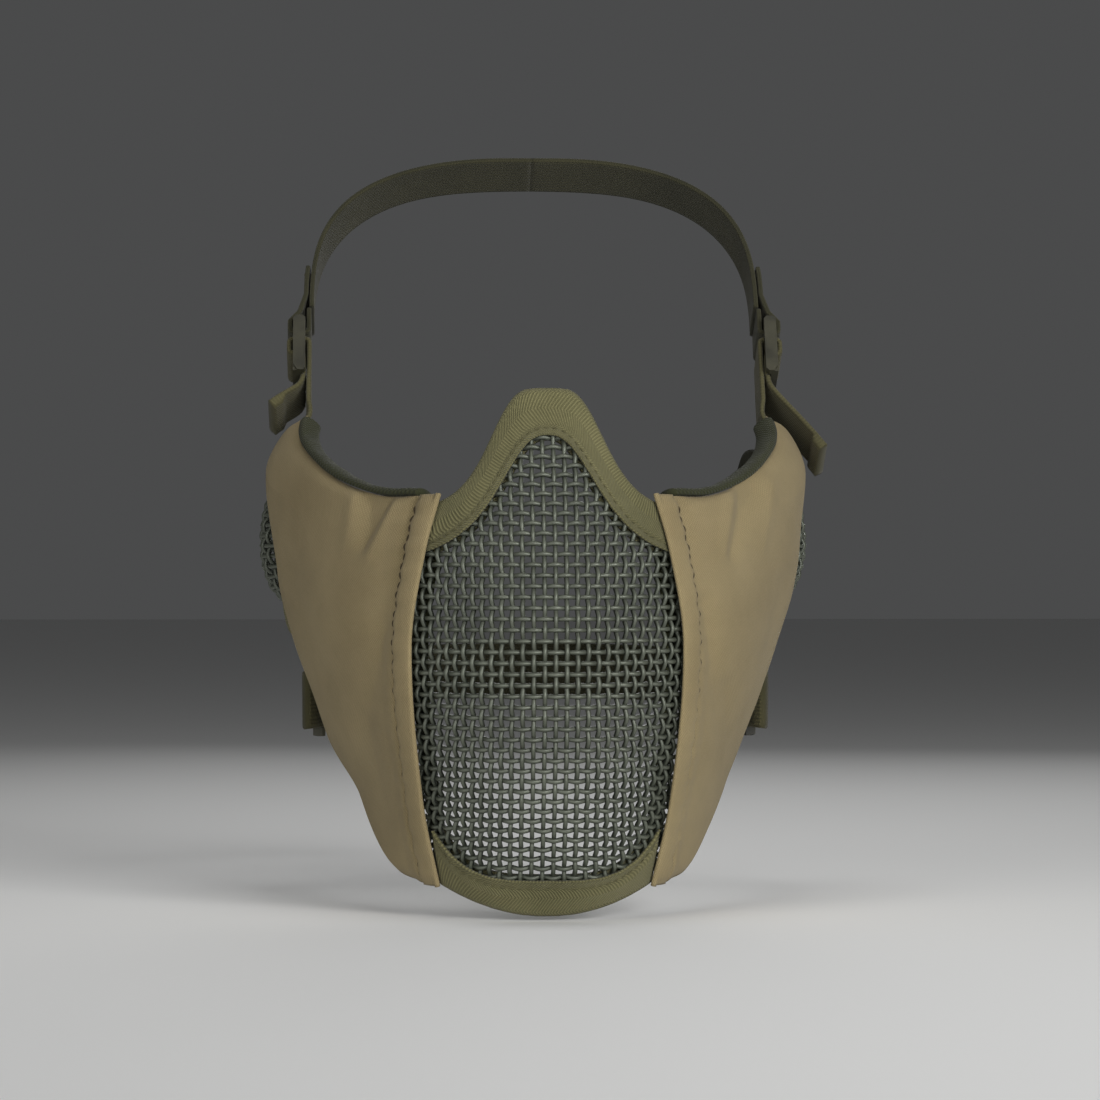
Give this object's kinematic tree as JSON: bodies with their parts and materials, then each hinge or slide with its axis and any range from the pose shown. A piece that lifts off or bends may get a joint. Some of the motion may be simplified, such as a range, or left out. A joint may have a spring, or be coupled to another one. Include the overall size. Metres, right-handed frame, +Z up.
{
  "type": "half face mask",
  "caption": "Half face mask with a woven wire mesh front, padded fabric cheek panels, hinged mesh ear covers, and elastic head straps on ladder locks.",
  "frame": {"origin": "middle of the wearer's head, on the line between the two ears", "axes": "+Z up, -Y the way the wearer looks, +X to the wearer's left"},
  "size_m": [0.1936, 0.2112, 0.2569],
  "materials": {
    "mesh_steel": "dark green painted steel wire",
    "mask_fabric": "matt tan woven fabric",
    "edge_tape": "olive herringbone tape",
    "lining": "dark olive spacer cloth",
    "foam": "soft dark foam",
    "webbing": "olive flat webbing",
    "elastic": "dark olive ribbed elastic",
    "plastic": "satin olive moulded plastic"
  },
  "bodies": {
    "front": {"face_mesh": "mesh_steel", "nose_binding": "edge_tape", "chin_binding": "edge_tape", "nose_pad": "foam", "hem_left": "mask_fabric", "hem_right": "mask_fabric", "hem_lining_left": "lining", "hem_lining_right": "lining", "crown_strap": "elastic", "nape_strap": "elastic"},
    "cheek_left": {"cheek_cover_left": "mask_fabric", "cheek_pad_left": "lining", "top_binding_left": "edge_tape", "ear_hinge_left": "edge_tape", "crown_webbing_left": "webbing", "crown_loop_left": "elastic", "nape_webbing_left": "webbing", "nape_loop_left": "elastic"},
    "ear_left": {"ear_mesh_left": "mesh_steel", "ear_rim_left": "edge_tape", "ear_seal_left": "foam"},
    "crown_lock_left": {"crown_lock_left": "plastic", "crown_wrap_left": "webbing"},
    "crown_tail_left": {"crown_tail_left": "webbing"},
    "nape_lock_left": {"nape_lock_left": "plastic", "nape_wrap_left": "webbing"},
    "nape_tail_left": {"nape_tail_left": "webbing"},
    "cheek_right": {"cheek_cover_right": "mask_fabric", "cheek_pad_right": "lining", "top_binding_right": "edge_tape", "ear_hinge_right": "edge_tape", "crown_webbing_right": "webbing", "crown_loop_right": "elastic", "nape_webbing_right": "webbing", "nape_loop_right": "elastic"},
    "ear_right": {"ear_mesh_right": "mesh_steel", "ear_rim_right": "edge_tape", "ear_seal_right": "foam"},
    "crown_lock_right": {"crown_lock_right": "plastic", "crown_wrap_right": "webbing"},
    "crown_tail_right": {"crown_tail_right": "webbing"},
    "nape_lock_right": {"nape_lock_right": "plastic", "nape_wrap_right": "webbing"},
    "nape_tail_right": {"nape_tail_right": "webbing"}
  },
  "joints": [
    {"name": "cheek_left_fold", "type": "hinge", "parent": "front", "child": "cheek_left", "pos_m": [0.046, -0.0955, -0.05], "axis": [0, 0.0995, -0.995], "range_deg": [-5, 20], "deforming": ["crown_strap", "nape_strap"]},
    {"name": "cheek_right_fold", "type": "hinge", "parent": "front", "child": "cheek_right", "pos_m": [-0.046, -0.0955, -0.05], "axis": [0, -0.0995, 0.995], "range_deg": [-5, 20], "deforming": ["crown_strap", "nape_strap"]},
    {"name": "ear_left_swing", "type": "hinge", "parent": "cheek_left", "child": "ear_left", "pos_m": [0.0886, -0.0109, -0.002], "axis": [0, 0, -1], "range_deg": [0, 45]},
    {"name": "ear_right_swing", "type": "hinge", "parent": "cheek_right", "child": "ear_right", "pos_m": [-0.0886, -0.0109, -0.002], "axis": [0, 0, 1], "range_deg": [0, 45]},
    {"name": "crown_lock_left_tilt", "type": "hinge", "parent": "cheek_left", "child": "crown_lock_left", "pos_m": [0.08115, 0.01008, 0.06799], "axis": [0, -0.8746, 0.4848], "range_deg": [0, 30], "deforming": ["crown_webbing_left"]},
    {"name": "crown_lock_right_tilt", "type": "hinge", "parent": "cheek_right", "child": "crown_lock_right", "pos_m": [-0.08115, 0.01008, 0.06799], "axis": [0, 0.8746, -0.4848], "range_deg": [0, 30], "deforming": ["crown_webbing_right"]},
    {"name": "crown_tail_left_slide", "type": "slide", "parent": "crown_lock_left", "child": "crown_tail_left", "axis": [0.5446, -0.4066, -0.7335], "range_m": [0, 0.012]},
    {"name": "crown_tail_right_slide", "type": "slide", "parent": "crown_lock_right", "child": "crown_tail_right", "axis": [-0.7431, -0.3244, -0.5852], "range_m": [0, 0.012]},
    {"name": "nape_lock_left_tilt", "type": "hinge", "parent": "cheek_left", "child": "nape_lock_left", "pos_m": [0.07435, 0.02138, -0.05417], "axis": [0, -0.0872, 0.9962], "range_deg": [0, 30], "deforming": ["nape_webbing_left"]},
    {"name": "nape_lock_right_tilt", "type": "hinge", "parent": "cheek_right", "child": "nape_lock_right", "pos_m": [-0.07435, 0.02138, -0.05417], "axis": [0, 0.0872, -0.9962], "range_deg": [0, 30], "deforming": ["nape_webbing_right"]},
    {"name": "nape_tail_left_slide", "type": "slide", "parent": "nape_lock_left", "child": "nape_tail_left", "axis": [0.6691, -0.7403, -0.0648], "range_m": [0, 0.012]},
    {"name": "nape_tail_right_slide", "type": "slide", "parent": "nape_lock_right", "child": "nape_tail_right", "axis": [-0.6691, -0.7403, -0.0648], "range_m": [0, 0.012]}
  ]
}
